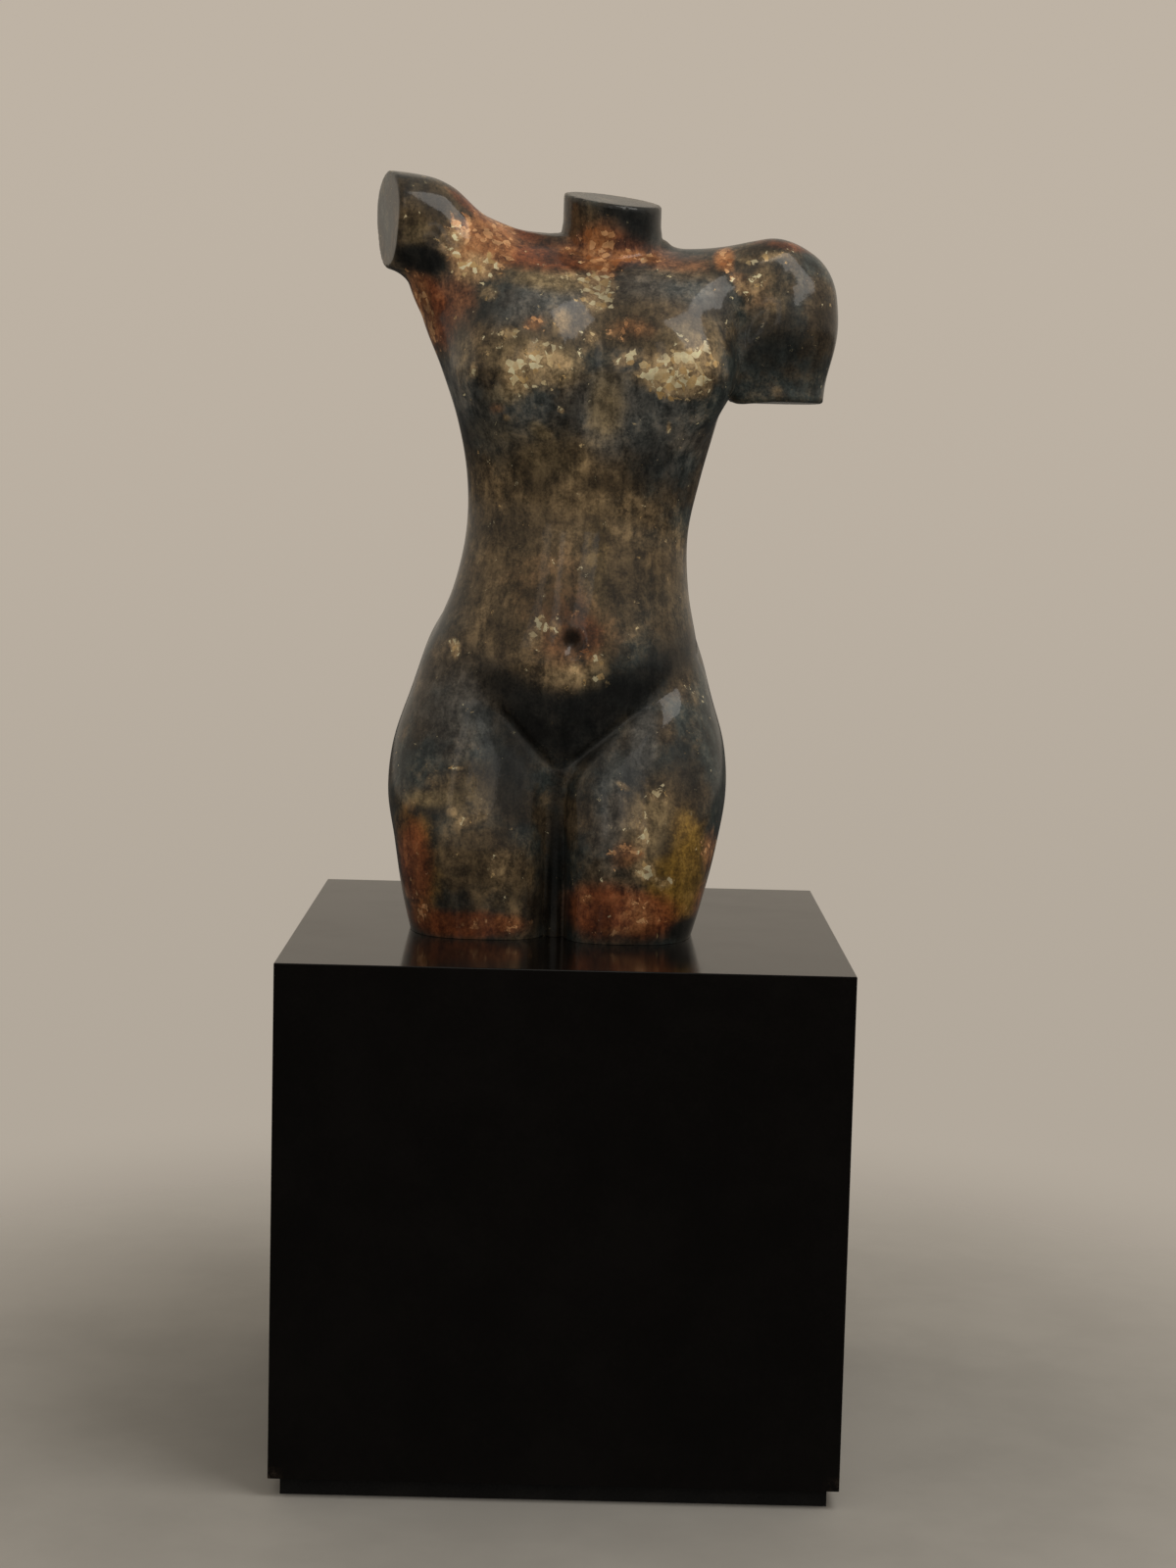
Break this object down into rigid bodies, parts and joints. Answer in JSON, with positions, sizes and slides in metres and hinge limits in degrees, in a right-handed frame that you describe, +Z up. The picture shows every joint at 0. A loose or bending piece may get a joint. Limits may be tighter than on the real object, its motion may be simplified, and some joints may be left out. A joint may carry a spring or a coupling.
{
  "type": "torso sculpture on plinth",
  "caption": "Headless female torso, one arm stump raised and one hanging, cast in resin with a metallic patina, on a black gloss cube plinth.",
  "frame": {"origin": "middle of the plinth's underside, on the floor", "axes": "+Z up, -Y towards the figure's front, +X towards its hanging left arm"},
  "size_m": [0.6, 0.6, 1.403],
  "materials": {
    "patinated_resin": "dark bronze-brown patina with copper, gold and blue-black patches under clear gloss lacquer",
    "black_gloss": "black high-gloss laminate",
    "base_black": "matt black"
  },
  "bodies": {
    "root": {"torso": "patinated_resin", "plinth_box": "black_gloss", "plinth_base": "base_black"}
  },
  "joints": []
}
